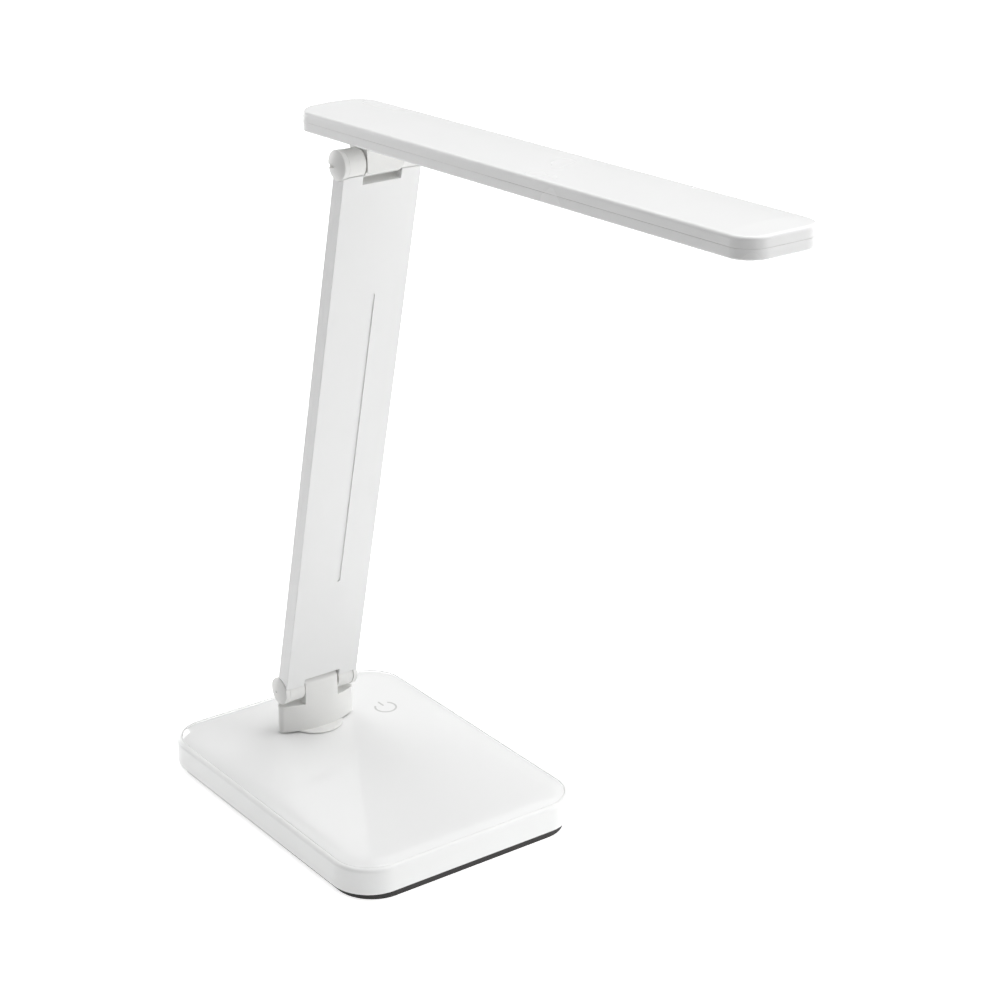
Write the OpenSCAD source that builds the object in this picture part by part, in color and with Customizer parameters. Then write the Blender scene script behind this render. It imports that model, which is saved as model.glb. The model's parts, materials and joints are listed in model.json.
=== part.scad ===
// Folding LED desk lamp. Units are millimetres, +Z is up, and the front of the lamp faces -Y.
// The origin is the centre of the base's underside. Each piece of the lamp is one module.

/* [Base] */
// Width of the base, left to right
base_w = 120; // [112:1:144]
// Depth of the base, front to back
base_d = 160; // [150:1:192]
// Corner radius of the base outline
base_r = 18.5; // [15:0.5:22]
// Height of the base's rim above the table
base_h = 15.2; // [15.2:0.2:18.4]
// Thickness of the base's side wall
base_wall = 2.2; // [1.8:0.1:2.6]
// Radius of the rounded edge between the side wall and the rim
rim_r = 1.8; // [1.2:0.1:2]
// Thickness of the non-slip pad
pad_t = 3; // [2:0.2:3]
// How far the crowned top panel rises above the rim
crown_h = 1.3; // [0.8:0.1:2]
// Width of the groove between the rim and the top panel
groove_w = 0.2; // [0.15:0.05:0.6]
// Outer diameter of the touch key's ring
touch_d = 10.6; // [8.6:0.1:13]
// Touch key's distance to the right of the centre line
touch_x = 34.2; // [32:0.1:36]
// Touch key's distance behind the middle of the base
touch_y = 37.2; // [32:0.1:42]

/* [Pedestal] */
// Distance of the swivel and lower hinge axes behind the middle of the base
hinge_y = 44; // [40:0.5:47]
// Length of the pedestal, left to right
pedestal_l = 39; // [37:0.5:42]
// Depth of the pedestal at its middle
pedestal_d = 13.2; // [13:0.2:15]
// Radius of the pedestal's curved front and back
pedestal_face_r = 40; // [36:1:48]
// Height of the pedestal's shoulders above its foot
pedestal_h = 12.8; // [12:0.2:14.4]
// Diameter of the swivel disc
disc_d = 24.6; // [22:0.2:28]
// Outer diameter of the hollow swivel shaft
shaft_d = 8; // [7:0.2:9]

/* [Hinges] */
// Height of the lower hinge axis above the pedestal's foot
hinge_rise = 20.5; // [20.2:0.1:23]
// Radius of the knuckle on the pedestal and of the head's tongue
knuckle_r = 6.2; // [5.8:0.1:6.4]
// Width of the knuckle, left to right
knuckle_w = 17.2; // [15:0.2:18]
// Radius of the fork's barrels
barrel_r = 6.1; // [5.8:0.1:6.3]
// Diameter of the hinge bolts
bolt_d = 5; // [4:0.2:5.4]
// Radius of the hinge caps
cap_r = 6.3; // [6:0.1:6.5]
// Width of a hinge cap's rim
cap_rim = 2.35; // [1.8:0.05:2.6]
// Height of a hinge cap's dome
cap_dome = 1.5; // [0.8:0.1:2.2]

/* [Arm] */
// Distance between the lower and upper hinge axes
arm_l = 261.4; // [220:0.2:314]
// Width of the arm
arm_w = 37.8; // [37:0.2:42]
// Distance from the hinge axes to the arm's front face
arm_front = 5.26; // [5:0.02:5.6]
// Distance from the hinge axes to the arm's rear face
arm_rear = 2; // [1.8:0.1:3]
// Wall thickness of the arm's shells
arm_wall = 1.5; // [1.2:0.1:1.6]
// Length of the shallow groove in the front cover
front_groove_l = 145; // [80:1:160]
// Width of the shallow groove
front_groove_w = 2.25; // [1.5:0.05:3.5]
// Depth of the shallow groove
front_groove_depth = 0.5; // [0.3:0.1:0.8]
// Lower end of the groove, measured from the lower hinge axis
front_groove_z = 57.4; // [40:0.1:70]
// Groove's distance to the right of the arm's centre line
front_groove_x = 2.3; // [-4:0.1:4]
// Forward lean of the arm as shown, in degrees
arm_lean = 12.1; // [0:0.1:30]

/* [Head] */
// Width of the head
head_w = 36; // [34:0.5:43]
// Thickness of the head at its sides
head_t = 8.2; // [8:0.1:9.8]
// Height of the crowned top above the sides' top edge
head_crown = 0.8; // [0.4:0.1:1]
// Corner radius of the head's outline
head_r = 9.5; // [6:0.5:12]
// How far the head reaches behind the upper hinge axis
head_back = 32.5; // [28:0.5:39]
// Room left between the folded head's tip and the lower hinge axis
fold_gap = 22; // [16:0.5:40]
// Distance from the upper hinge axis to the head's underside
head_drop = 9.2; // [8.4:0.1:10]
// Wall thickness of the head's shells
head_wall = 1.6; // [1.2:0.1:1.8]
// Upward tilt of the head as shown, in degrees
head_tilt = 2.5; // [0:0.5:10]
// Number of LEDs in each of the two rows
led_count = 18; // [8:1:24]

/* [Hidden] */
$fn = 64;
hull_fn = 32;
eps = 0.01;

// Running and fitting clearances
slip = 0.15;
running = 0.05;
cap_gap = 0.2;

// Levels in the base
cover_t = 2;
cover_top = pad_t + cover_t;
pad_side_inset = 2.75;
pad_end_inset = 1.1;
ledge_t = 1.5;
ledge_w = 4;
ledge_top = base_h - 2.3;
panel_under = base_h - 1.2;
panel_inset = base_wall + groove_w;
panel_skirt = 3;
panel_roll = 0.5;
crown_run = 14.5;
deck_z = base_h + crown_h;

// Screws that close the base sit on the corner arcs, next to the wall
base_boss_r = 3.5;
base_boss_in = (base_r - base_wall - base_boss_r + 0.5) / sqrt(2);
base_boss_x = base_w/2 - base_r + base_boss_in;
base_boss_y = base_d/2 - base_r + base_boss_in;
screw_d = 2.6;
screw_head_d = 4.8;
pilot = 0.05;

// Swivel stack, from the deck down to the nut
bracket_t = 2;
bracket_w = 52;
bracket_d = 28;
bracket_top = panel_under;
bracket_bottom = bracket_top - bracket_t;
bracket_post_r = 3;
bracket_post_x = bracket_w/2 - 4;
bracket_post_y = bracket_d/2 - 4;
deck_washer_t = 0.2;
disc_t = 0.8;
foot_z = deck_z + deck_washer_t + disc_t;
friction_t = 0.8;
spring_t = 1;
swivel_nut_h = 4;
swivel_nut_af = 13;
shaft_bore_d = shaft_d - 3;
shaft_tail = 0.5;

// Pedestal and its hinge
pedestal_wall = 1.8;
flange_t = 2;
flange_half_l = 13.5;
pedestal_roof = 2;
pedestal_screw_x = 9;
axis_z = foot_z + hinge_rise;
bush_wall = 1.5;
bush_r = bolt_d/2 + running + bush_wall;
washer_t = 0.5;
washer_r = 5.4;
barrel_in = knuckle_w/2 + washer_t;
barrel_out = arm_w/2 - 2.05;
bolt_head_r = bolt_d/2 + 1.75;
bolt_head_h = 3;
nut_af = bolt_d + 3;
nut_h = 4;
spigot_l = 1.1;
counterbore_depth = nut_h + spigot_l + 0.4;
counterbore_r = bolt_d/2 + 2.2;

// Arm
notch_half = barrel_in + slip;
lower_notch = knuckle_r + 0.5;
tongue_toe = 3.6;
upper_notch = norm([knuckle_r, tongue_toe]) + 0.5;
seam_y = (arm_rear - arm_front)/2;
cover_inner_y = arm_wall - arm_front;
rear_inner_y = arm_rear - arm_wall;
spine_t = 1.3;
spine_y = rear_inner_y - slip;
tang_back_y = spine_y - spine_t;
tang_front_y = cover_inner_y + slip;
tang_half = arm_w/2 - 6.4;
tang_l = 32;
neck_h = 10;
neck_half = arm_w/2 - arm_wall - slip - 0.5;
arm_screw_x = tang_half - 4;
arm_screw_z = [tang_l - 18, tang_l - 6];
cable_w = 3;
cable_t = 1;
cable_x = tang_half + 2.2;

// Head
head_reach = arm_l - fold_gap;
head_l = head_reach + head_back;
head_mid_y = (head_back - head_reach)/2;
part_z = head_drop + head_t/2;
head_top = head_drop + head_t;
floor_t = 1.8;
floor_z = head_drop + floor_t;
roof_z = head_top - head_wall;
window_half = head_w/2 - 6;
window_front = -head_reach + 7;
window_back = -22;
window_mid = (window_front + window_back)/2;
window_l = window_back - window_front;
lip = 1;
diffuser_z = head_drop + 0.7;
diffuser_t = 1.4;
board_t = 1.2;
spreader_t = 0.9;
spreader_z = roof_z - spreader_t - 0.1;
led_board_z = spreader_z - board_t;
led_size = [2.8, 3.5, 0.7];
led_board_margin = 0.5;
led_board_half = window_half - led_board_margin;
led_row_x = led_board_half/2;
led_pitch = (window_l - 14)/(led_count - 1);
head_boss_r = 1.9;
head_boss_x = head_w/2 - head_wall - head_boss_r - 0.3;
head_boss_y = [head_back - 12, window_back + 6, window_mid, window_front + 6];
tongue_flange = [26, 27, 2];
tongue_screw_x = 10.6;
tongue_screw_y = 9.6;

// Outline of a rounded rectangle, made of exact lines and arcs
module rounded_rect(w, d, r) {
    square([w - 2*r, d], center = true);
    square([w, d - 2*r], center = true);
    for (x = [-1, 1], y = [-1, 1])
        translate([x*(w/2 - r), y*(d/2 - r)]) circle(r);
}

// Straight-sided slab between two heights, set in from an outline by inset
module slab(w, d, r, inset, z0, z1) {
    translate([0, 0, z0])
        linear_extrude(z1 - z0) rounded_rect(w - 2*inset, d - 2*inset, r - inset);
}

// Convex body through slices of an outline; each level is [inset, height]
module slice_hull(w, d, r, levels) {
    hull()
        for (l = levels)
            translate([0, 0, l[1]])
                linear_extrude(eps)
                    rounded_rect(w - 2*l[0], d - 2*l[0], max(r - l[0], 2), $fn = hull_fn);
}

// Cylinder along X between two positions
module rod(x0, x1, r) {
    translate([x0, 0, 0]) rotate([0, 90, 0]) cylinder(r = r, h = x1 - x0);
}

// Box between two corners
module block(a, b) {
    translate(a) cube(b - a);
}

// Countersunk screw, head up, with the top of its head at the origin
module countersunk_screw(d, head_d, l) {
    head_h = (head_d - d)/2;
    rotate_extrude()
        polygon([[0, 0], [head_d/2, 0], [d/2, -head_h], [d/2, -l], [0, -l]]);
}

// Hole for a countersunk screw, a little wider than the screw
module screw_hole(d, head_d, l) {
    translate([0, 0, eps]) countersunk_screw(d + 2*pilot, head_d + 2*pilot, l + eps);
}

// Frames of the two hinge axes, and of what turns with them
module at_swivel() {
    translate([0, hinge_y, 0]) children();
}

module at_lower_axis() {
    translate([0, hinge_y, axis_z]) children();
}

module in_arm() {
    at_lower_axis() rotate([arm_lean, 0, 0]) children();
}

module at_upper_axis() {
    in_arm() translate([0, 0, arm_l]) mirror([0, 0, 1]) children();
}

module in_head() {
    in_arm() translate([0, 0, arm_l]) rotate([-arm_lean - head_tilt, 0, 0]) children();
}

module at_base_screws() {
    for (x = [-1, 1], y = [-1, 1])
        translate([x*base_boss_x, y*base_boss_y, pad_t]) rotate([180, 0, 0]) children();
}

module at_bracket_screws() {
    for (x = [-1, 1], y = [-1, 1])
        translate([x*bracket_post_x, hinge_y + y*bracket_post_y, 0]) children();
}

// Base

module base_pad() {
    color("#1b1b1c")
        slab(base_w - 2*pad_side_inset, base_d - 2*pad_end_inset, base_r - pad_end_inset, 0, 0, pad_t);
}

base_screw_l = ledge_top - ledge_t - pad_t - 0.4;
board_w = 26;
board_d = 44;
board_x = base_w/2 - 20;
board_y = hinge_y - 4;
board_lift = 2.5;
board_z = cover_top + board_lift;
board_post = [board_w/2 - 2.5, board_d/2 - 2.5];
board_post_r = 2;
board_peg_r = 0.75;
pcb_t = 1.6;

module at_board_posts() {
    for (x = [-1, 1], y = [-1, 1])
        translate([board_x + x*board_post[0], board_y + y*board_post[1], 0]) children();
}

module base_bottom_cover() {
    color("#e6e6e2") difference() {
        union() {
            slab(base_w, base_d, base_r, base_wall + slip, pad_t, cover_top);
            at_bracket_screws()
                translate([0, 0, cover_top - eps])
                    cylinder(r = bracket_post_r, h = bracket_bottom - cover_top + eps);
            at_board_posts() translate([0, 0, cover_top - eps]) {
                cylinder(r = board_post_r, h = board_lift + eps);
                cylinder(r = board_peg_r, h = board_lift + pcb_t + 0.6);
            }
        }
        at_base_screws() screw_hole(screw_d, screw_head_d, cover_t + 1);
        at_bracket_screws()
            translate([0, 0, bracket_bottom - 6]) cylinder(d = screw_d + 2*pilot, h = 7);
    }
}

jack_w = 7;
jack_l = 11;
jack_h = 6.2;
jack_z = cover_top + 0.1 + jack_h/2;
jack_face_y = base_d/2 - base_wall - slip;
jack_hole_r = 3.1;
plug_r = 1.85;
jack_pin_r = 0.65;

module base_housing() {
    levels = [[1, pad_t], [0, pad_t + 1], [0, base_h - rim_r - eps],
        [rim_r*(1 - cos(30)), base_h - rim_r*(1 - sin(30)) - eps],
        [rim_r*(1 - cos(60)), base_h - rim_r*(1 - sin(60)) - eps],
        [rim_r, base_h - eps]];
    color("#f2f2ef") difference() {
        union() {
            difference() {
                slice_hull(base_w, base_d, base_r, levels);
                slab(base_w, base_d, base_r, base_wall, pad_t - 1, base_h + 1);
            }
            difference() {
                slab(base_w, base_d, base_r, base_wall - 0.5, ledge_top - ledge_t, ledge_top);
                slab(base_w, base_d, base_r, base_wall + ledge_w, pad_t, base_h);
            }
            for (x = [-1, 1], y = [-1, 1])
                translate([x*base_boss_x, y*base_boss_y, cover_top])
                    cylinder(r = base_boss_r, h = ledge_top - cover_top);
        }
        at_base_screws()
            translate([0, 0, -base_screw_l - 0.5]) cylinder(d = screw_d + 2*pilot, h = base_screw_l);
        translate([0, base_d/2 + 1, jack_z])
            rotate([90, 0, 0]) cylinder(r = jack_hole_r, h = base_wall + 2);
    }
}

symbol_line = 0.9;
symbol_gap = touch_d*0.62;
symbol_bar = [touch_d*0.18, touch_d*0.6];
symbol_depth = 0.4;

// Broken ring with a bar through its gap; spread widens every line for the inlay's pocket
module touch_ring_2d(spread) {
    line_w = symbol_line + 2*spread;
    gap_w = symbol_gap - 2*spread;
    difference() {
        circle(r = touch_d/2 + spread);
        circle(r = touch_d/2 - symbol_line - spread);
        translate([-gap_w/2, 0]) square([gap_w, touch_d]);
    }
    translate([-line_w/2, symbol_bar[0] - spread])
        square([line_w, symbol_bar[1] - symbol_bar[0] + 2*spread]);
}

module base_top_panel() {
    edge_z = base_h - panel_roll;
    levels = [[0, edge_z - 0.4], [0, edge_z], [panel_roll, base_h], [2, base_h + crown_h*0.36],
        [4, base_h + crown_h*0.68], [7, base_h + crown_h*0.91], [crown_run, deck_z - eps]];
    w = base_w - 2*panel_inset;
    d = base_d - 2*panel_inset;
    r = base_r - panel_inset;
    color("#fafaf8") difference() {
        union() {
            slice_hull(w, d, r, levels);
            slab(w, d, r, 0, ledge_top, edge_z - 0.2);
        }
        slab(w, d, r, panel_skirt, ledge_top - 1, panel_under);
        at_swivel() translate([0, 0, panel_under - 1]) cylinder(d = shaft_d + 0.6, h = base_h);
        translate([touch_x, touch_y, deck_z - symbol_depth])
            linear_extrude(symbol_depth + 1) touch_ring_2d(pilot);
    }
}

module touch_symbol() {
    color("#9a9c9e") translate([touch_x, touch_y, deck_z - symbol_depth])
        linear_extrude(symbol_depth) touch_ring_2d(0);
}

module touch_electrode() {
    color("#c08a4a") translate([touch_x, touch_y, 0]) {
        translate([0, 0, panel_under - 0.5]) cylinder(d = touch_d + 2, h = 0.5);
        translate([0, 0, board_z + pcb_t])
            cylinder(d = 2.4, h = panel_under - 0.4 - board_z - pcb_t);
    }
}

module control_board() {
    color("#1f6b3f") difference() {
        translate([board_x - board_w/2, board_y - board_d/2, board_z]) cube([board_w, board_d, pcb_t]);
        at_board_posts() translate([0, 0, board_z - 1]) cylinder(r = board_peg_r + pilot, h = pcb_t + 2);
    }
}

// Driver chip, touch chip, coil, capacitor and wire connector, standing on the board
module board_components() {
    top = board_z + pcb_t;
    color("#26272a") translate([board_x, board_y, top]) {
        translate([-9, 6, 0]) cube([5, 4, 1.5]);
        translate([1, 8, 0]) cube([4.4, 4.4, 1.2]);
        translate([-3, 15, 1.25]) cube([6, 6, 2.5], center = true);
        translate([6, 17, 0]) cylinder(d = 4, h = 3);
        translate([-10.5, -17, 0]) cube([5, 8, 3]);
    }
}

module dc_jack() {
    color("#17181a") translate([0, jack_face_y, jack_z]) rotate([90, 0, 0]) {
        difference() {
            translate([-jack_w/2, -jack_h/2, 0]) cube([jack_w, jack_h, jack_l]);
            translate([0, 0, -1]) cylinder(r = plug_r, h = jack_l - 1);
        }
        translate([0, 0, 1]) cylinder(r = jack_pin_r, h = jack_l - 1.5);
    }
}

ballast_t = 5.5;
ballast_margin = 8;
ballast_front = -base_d/2 + ballast_margin;
ballast_back = hinge_y - bracket_d/2 - 14;

module ballast_plate() {
    color("#8a8d90") difference() {
        slab(base_w, base_d, base_r, ballast_margin, cover_top, cover_top + ballast_t);
        block([-base_w, ballast_back, 0], [base_w, base_d, base_h]);
        for (x = [-1, 1])
            translate([x*base_boss_x, -base_boss_y, 0]) cylinder(r = base_boss_r + 0.5, h = base_h);
    }
}

module base_screws() {
    color("#b9bcc0") at_base_screws() countersunk_screw(screw_d, screw_head_d, base_screw_l);
}

// Swivel

module swivel_bracket() {
    color("#9ea2a6") difference() {
        translate([-bracket_w/2, hinge_y - bracket_d/2, bracket_bottom])
            cube([bracket_w, bracket_d, bracket_t]);
        at_swivel() translate([0, 0, bracket_bottom - 1]) cylinder(r = shaft_d/2 + running, h = bracket_t + 2);
        at_bracket_screws()
            translate([0, 0, bracket_top]) screw_hole(screw_d, screw_head_d, bracket_t + 1);
    }
}

module bracket_screws() {
    color("#b9bcc0") at_bracket_screws()
        translate([0, 0, bracket_top]) countersunk_screw(screw_d, screw_head_d, 7);
}

module ring(r_out, r_in, z0, z1) {
    translate([0, 0, z0]) difference() {
        cylinder(r = r_out, h = z1 - z0);
        translate([0, 0, -1]) cylinder(r = r_in, h = z1 - z0 + 2);
    }
}

module swivel_washer() {
    color("#d8d8d0") at_swivel() ring(disc_d/2 - 1.2, shaft_d/2 + 0.3, deck_z, deck_z + deck_washer_t);
}

module swivel_disc() {
    color("#efeeea") at_swivel() ring(disc_d/2, shaft_d/2 + 0.1, foot_z - disc_t, foot_z);
}

friction_z = bracket_bottom - friction_t;
spring_z = friction_z - spring_t;
swivel_nut_z = spring_z - swivel_nut_h;

module swivel_friction_washer() {
    color("#5a4632") at_swivel() ring(9, shaft_d/2 + 0.1, friction_z, bracket_bottom);
}

module swivel_spring_washer() {
    color("#a7abb0") at_swivel() ring(7.6, shaft_d/2 + 0.1, spring_z, friction_z);
}

module swivel_nut() {
    color("#a7abb0") at_swivel() difference() {
        translate([0, 0, swivel_nut_z]) cylinder(d = swivel_nut_af/cos(30), h = swivel_nut_h, $fn = 6);
        translate([0, 0, swivel_nut_z - 1]) cylinder(r = shaft_d/2 + 0.02, h = swivel_nut_h + 2);
    }
}

// Outline with two shallow arcs for its front and back, and a round tip at each end
module lens_2d(half_l, half_d, face_r) {
    tip_r = (pow(face_r, 2) - pow(face_r - half_d, 2) - pow(half_l, 2))/(2*(face_r - half_l));
    tip_x = half_l - tip_r;
    tangent_x = face_r*tip_x/(face_r - tip_r);
    intersection() {
        translate([0, half_d - face_r]) circle(face_r, $fn = 180);
        translate([0, face_r - half_d]) circle(face_r, $fn = 180);
        square([2*tangent_x, 4*half_d], center = true);
    }
    for (x = [-tip_x, tip_x])
        translate([x, 0]) circle(tip_r);
}

module pedestal_lens(inset, z0, z1) {
    translate([0, 0, z0])
        linear_extrude(z1 - z0)
            lens_2d(pedestal_l/2 - inset, pedestal_d/2 - inset, pedestal_face_r - inset);
}

flange_half_d = pedestal_d/2 - pedestal_wall - slip;
flange_face_r = pedestal_face_r - pedestal_wall - slip;

module swivel_shaft() {
    color("#9ea2a6") at_swivel() difference() {
        union() {
            translate([0, 0, foot_z]) linear_extrude(flange_t) intersection() {
                translate([0, flange_half_d - flange_face_r]) circle(flange_face_r);
                translate([0, flange_face_r - flange_half_d]) circle(flange_face_r);
                square([2*flange_half_l, 4*flange_half_d], center = true);
            }
            translate([0, 0, swivel_nut_z - shaft_tail])
                cylinder(d = shaft_d, h = foot_z - swivel_nut_z + shaft_tail + 1);
        }
        translate([0, 0, swivel_nut_z - 1]) cylinder(d = shaft_bore_d, h = foot_z);
        for (x = [-1, 1])
            translate([x*pedestal_screw_x, 0, foot_z])
                rotate([180, 0, 0]) screw_hole(2, 3.6, flange_t + 1);
    }
}

module pedestal_screws() {
    color("#b9bcc0") at_swivel()
        for (x = [-1, 1])
            translate([x*pedestal_screw_x, 0, foot_z]) rotate([180, 0, 0]) countersunk_screw(2, 3.6, 8);
}

shoulder_z = foot_z + pedestal_h;
knuckle_spread = pedestal_d/2 + 0.1;
knuckle_drop = hinge_rise - pedestal_h;
crown_rise = 0.8;

// Side view of the knuckle, about the lower hinge axis: a round crown on two sides that spread downwards
module knuckle_profile() {
    crown = [knuckle_r - 2*eps, crown_rise];
    foot = [knuckle_spread, -knuckle_drop];
    circle(knuckle_r);
    polygon([foot - [0, 1], foot, crown, [-crown[0], crown[1]], [-foot[0], foot[1]], [-foot[0], foot[1] - 1]]);
}

// Everything the pedestal's front view covers: the broad foot and the narrow knuckle on it
module pedestal_front() {
    block([-pedestal_l, -pedestal_d, foot_z - 1], [pedestal_l, pedestal_d, shoulder_z]);
    translate([-knuckle_w/2, 0, axis_z])
        rotate([90, 0, 90]) linear_extrude(knuckle_w) knuckle_profile();
}

module pedestal() {
    color("#f1f0ea") difference() {
        union() {
            at_swivel() difference() {
                intersection() {
                    pedestal_lens(0, foot_z, axis_z + knuckle_r + 1);
                    pedestal_front();
                }
                pedestal_lens(pedestal_wall, foot_z - 1, shoulder_z - pedestal_roof);
            }
            at_swivel() translate([0, 0, foot_z + flange_t])
                for (x = [-1, 1])
                    translate([x*pedestal_screw_x, 0, 0])
                        cylinder(r = 2.4, h = pedestal_h - flange_t - 1);
        }
        at_lower_axis() rod(-knuckle_w, knuckle_w, bush_r);
        at_swivel() for (x = [-1, 1])
            translate([x*pedestal_screw_x, 0, foot_z]) cylinder(d = 2 + 2*pilot, h = 8.5);
    }
}

// Hinge hardware, made once about the X axis and set on both hinges

module hinge_bush() {
    difference() {
        rod(-knuckle_w/2, knuckle_w/2, bush_r - 0.02);
        rod(-knuckle_w, knuckle_w, bolt_d/2 + running);
    }
}

module hinge_washers() {
    for (x = [-barrel_in, knuckle_w/2])
        difference() {
            rod(x, x + washer_t, washer_r);
            rod(x - 1, x + washer_t + 1, bolt_d/2 + 0.1);
        }
}

web_out = barrel_out - counterbore_depth;
slot_turn = 23;

module hinge_bolt() {
    rod(-web_out, web_out + nut_h - 0.3, bolt_d/2);
    rod(-web_out - bolt_head_h, -web_out, bolt_head_r);
}

module hinge_nut() {
    difference() {
        translate([web_out, 0, 0]) rotate([0, 90, 0]) cylinder(d = nut_af/cos(30), h = nut_h, $fn = 6);
        rod(web_out - 1, web_out + nut_h + 1, bolt_d/2 + 0.02);
    }
}

// Round cap whose domed face points away from the hinge, for the left side
module hinge_cap() {
    edge_x = barrel_out + cap_rim;
    dome_r = (pow(cap_r, 2) + pow(cap_dome, 2))/(2*cap_dome);
    intersection() {
        rod(-edge_x - cap_dome, -barrel_out, cap_r);
        translate([dome_r - edge_x - cap_dome, 0, 0]) sphere(dome_r, $fn = 160);
    }
    rod(-barrel_out - eps, -barrel_out + spigot_l, counterbore_r - 0.1);
}

// Short slot from the middle of the cap's face to its rear edge
module cap_slot() {
    rotate([slot_turn, 0, 0])
        block([-barrel_out - cap_rim - cap_dome - 1, 0, -0.65], [-barrel_out - cap_rim + 0.4, cap_r, 0.65]);
}

module cap_dimple() {
    rod(-barrel_out - cap_rim - cap_dome - 1, -barrel_out - cap_rim - cap_dome + 0.4, 0.5);
}

module fork(notch) {
    difference() {
        union() {
            for (side = [-1, 1])
                mirror([side < 0 ? 1 : 0, 0, 0]) {
                    rod(barrel_in, barrel_out, barrel_r);
                    block([barrel_in, tang_front_y, 0], [neck_half, spine_y, neck_h]);
                }
            block([-tang_half, tang_front_y, notch], [tang_half, tang_back_y, tang_l]);
            block([-neck_half, tang_front_y, notch], [neck_half, spine_y, neck_h]);
        }
        rod(-arm_w, arm_w, bolt_d/2 + 0.1);
        for (side = [-1, 1])
            mirror([side < 0 ? 1 : 0, 0, 0]) rod(web_out, arm_w, counterbore_r);
        for (x = [-1, 1], z = arm_screw_z)
            translate([x*arm_screw_x, tang_front_y, z]) rotate([90, 0, 0]) screw_hole(2, 3.4, 6);
    }
}

// Arm

module arm_slab(y0, y1) {
    block([-arm_w/2, y0, 0], [arm_w/2, y1, arm_l]);
}

// What the barrels, caps, knuckle and tongue need at the two ends of the arm
module arm_end_room() {
    for (z = [0, arm_l])
        translate([0, 0, z]) rod(-arm_w, arm_w, cap_r + cap_gap);
    block([-notch_half, -arm_w, -1], [notch_half, arm_w, lower_notch]);
    block([-notch_half, -arm_w, arm_l - upper_notch], [notch_half, arm_w, arm_l + 1]);
}

module arm_cavity(y0, y1) {
    block([-arm_w/2 + arm_wall, y0, -1], [arm_w/2 - arm_wall, y1, arm_l + 1]);
}

module arm_rear_shell() {
    color("#f4f4f2") in_arm() difference() {
        arm_slab(seam_y, arm_rear);
        arm_cavity(seam_y - 1, rear_inner_y);
        arm_end_room();
    }
}

module arm_front_cover() {
    color("#f6f6f5") in_arm() difference() {
        arm_slab(-arm_front, seam_y);
        arm_cavity(cover_inner_y, seam_y + 1);
        arm_end_room();
        translate([front_groove_x, front_groove_depth - arm_front, front_groove_z + front_groove_l/2])
            rotate([90, 0, 0])
                linear_extrude(1)
                    rounded_rect(front_groove_w, front_groove_l, front_groove_w/2 - eps);
    }
}

module arm_spine() {
    color("#a3a7ab") in_arm() difference() {
        block([-tang_half, tang_back_y, neck_h + 0.5], [tang_half, spine_y, arm_l - neck_h - 0.5]);
        for (x = [-1, 1], z = [for (s = arm_screw_z) each [s, arm_l - s]])
            translate([x*arm_screw_x, spine_y + 1, z]) rotate([90, 0, 0]) cylinder(d = 2 + 2*pilot, h = spine_t + 2);
    }
}

module arm_screws() {
    color("#b9bcc0") in_arm()
        for (x = [-1, 1], z = [for (s = arm_screw_z) each [s, arm_l - s]])
            translate([x*arm_screw_x, tang_front_y, z])
                rotate([90, 0, 0]) countersunk_screw(2, 3.4, spine_y - tang_front_y - 0.1);
}

module arm_cable() {
    color("#e9e9e9") in_arm()
        block([cable_x - cable_w/2, rear_inner_y - 0.1 - cable_t, neck_h + 0.5],
              [cable_x + cable_w/2, rear_inner_y - 0.1, arm_l - neck_h - 0.5]);
}

// Head

module head_slab(inset, z0, z1) {
    translate([0, head_mid_y, 0]) slab(head_w, head_l, head_r, inset, z0, z1);
}

module at_head_bosses() {
    for (x = [-1, 1], y = head_boss_y)
        translate([x*head_boss_x, y, 0]) children();
}

module head_top_shell() {
    levels = [[0, part_z], [0, head_top - head_wall + 0.2], [0.5, head_top - 0.6], [1.5, head_top],
        [head_w*0.2, head_top + head_crown*0.65], [head_w*0.36, head_top + head_crown - eps]];
    color("#f7f7f6") in_head() difference() {
        union() {
            difference() {
                translate([0, head_mid_y, 0]) slice_hull(head_w, head_l, head_r, levels);
                head_slab(head_wall, part_z - 1, roof_z);
            }
            at_head_bosses() translate([0, 0, part_z]) cylinder(r = head_boss_r, h = roof_z - part_z + 0.5);
        }
        at_head_bosses() translate([0, 0, part_z - 1]) cylinder(d = 1.7, h = roof_z - part_z + 0.8);
    }
}

module head_bottom_frame() {
    levels = [[1, head_drop], [0, head_drop + 1], [0, part_z - eps]];
    color("#f5f5f3") in_head() difference() {
        union() {
            difference() {
                translate([0, head_mid_y, 0]) slice_hull(head_w, head_l, head_r, levels);
                head_slab(head_wall, floor_z, part_z + 1);
            }
            at_head_bosses() translate([0, 0, floor_z - 0.5]) cylinder(r = head_boss_r, h = part_z - floor_z + 0.5);
        }
        block([-window_half + lip, window_front + lip, 0], [window_half - lip, window_back - lip, head_top]);
        block([-window_half, window_front, diffuser_z], [window_half, window_back, head_top]);
        block([-knuckle_w/2 - slip, -knuckle_r - slip, 0], [knuckle_w/2 + slip, knuckle_r + slip, head_top]);
        at_head_bosses()
            translate([0, 0, head_drop]) rotate([180, 0, 0]) screw_hole(1.6, 3.2, head_t);
        for (x = [-1, 1], y = [-1, 1])
            translate([x*tongue_screw_x, y*tongue_screw_y, floor_z - 1.6]) cylinder(d = 2 + 2*pilot, h = head_t);
    }
}

module diffuser() {
    color("#fbfbf6") in_head()
        block([-window_half + slip, window_front + slip, diffuser_z],
              [window_half - slip, window_back - slip, diffuser_z + diffuser_t]);
}

reflector_wall = 0.8;

module reflector_frame() {
    z0 = diffuser_z + diffuser_t;
    color("#ffffff") in_head() difference() {
        block([-window_half + slip, window_front + slip, z0], [window_half - slip, window_back - slip, led_board_z]);
        block([-window_half + slip + reflector_wall, window_front + slip + reflector_wall, z0 - 1],
              [window_half - slip - reflector_wall, window_back - slip - reflector_wall, head_top]);
    }
}

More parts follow.
